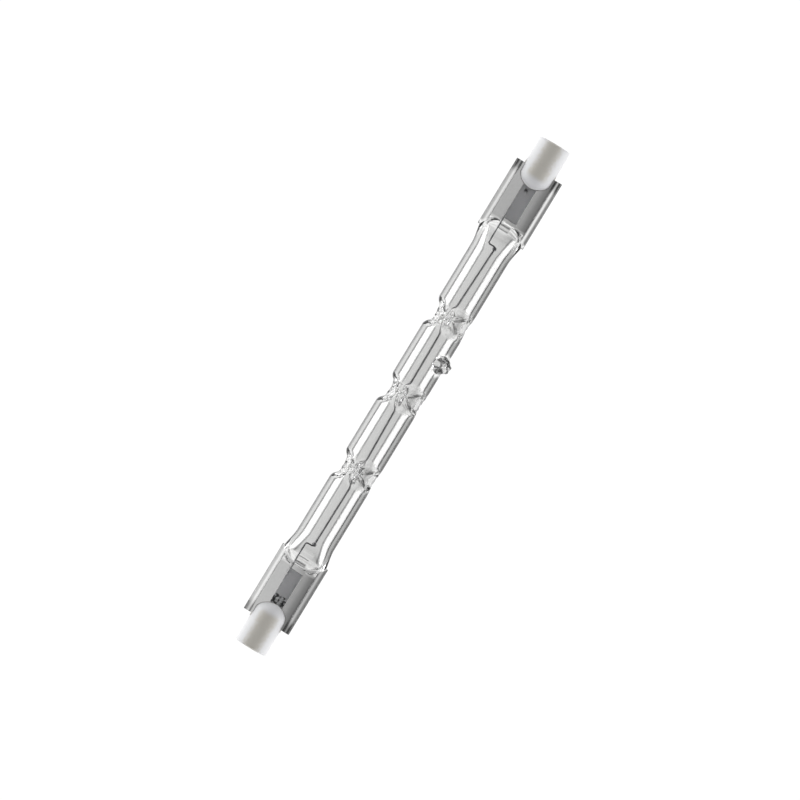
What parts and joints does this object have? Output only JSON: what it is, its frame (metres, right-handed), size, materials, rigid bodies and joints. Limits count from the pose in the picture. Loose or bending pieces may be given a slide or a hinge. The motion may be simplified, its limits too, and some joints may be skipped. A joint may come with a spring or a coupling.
{
  "type": "linear halogen bulb",
  "caption": "Clear quartz tube lamp with a filament on pinched supports, a flat pinch seal and a ceramic cap with a recessed contact at each end",
  "frame": {"origin": "the middle of the lamp on its axis, which is also its light centre", "axes": "X runs along the lamp, Z is square to the flat pinch seals, and Y runs across them"},
  "size_m": [0.1176, 0.0106, 0.009],
  "materials": {
    "quartz": "clear polished",
    "ceramic": "matte",
    "cement": "matte",
    "nickel": "satin",
    "molybdenum": "satin",
    "tungsten": "satin"
  },
  "bodies": {
    "root": {"quartz_envelope": "quartz", "filament": "tungsten", "inner_lead_a": "tungsten", "inner_lead_b": "tungsten", "outer_lead_a": "molybdenum", "outer_lead_b": "molybdenum", "sealing_foil_a": "molybdenum", "sealing_foil_b": "molybdenum", "ceramic_cap_a": "ceramic", "ceramic_cap_b": "ceramic", "cap_cement_a": "cement", "cap_cement_b": "cement", "contact_a": "nickel", "contact_b": "nickel"}
  },
  "joints": []
}
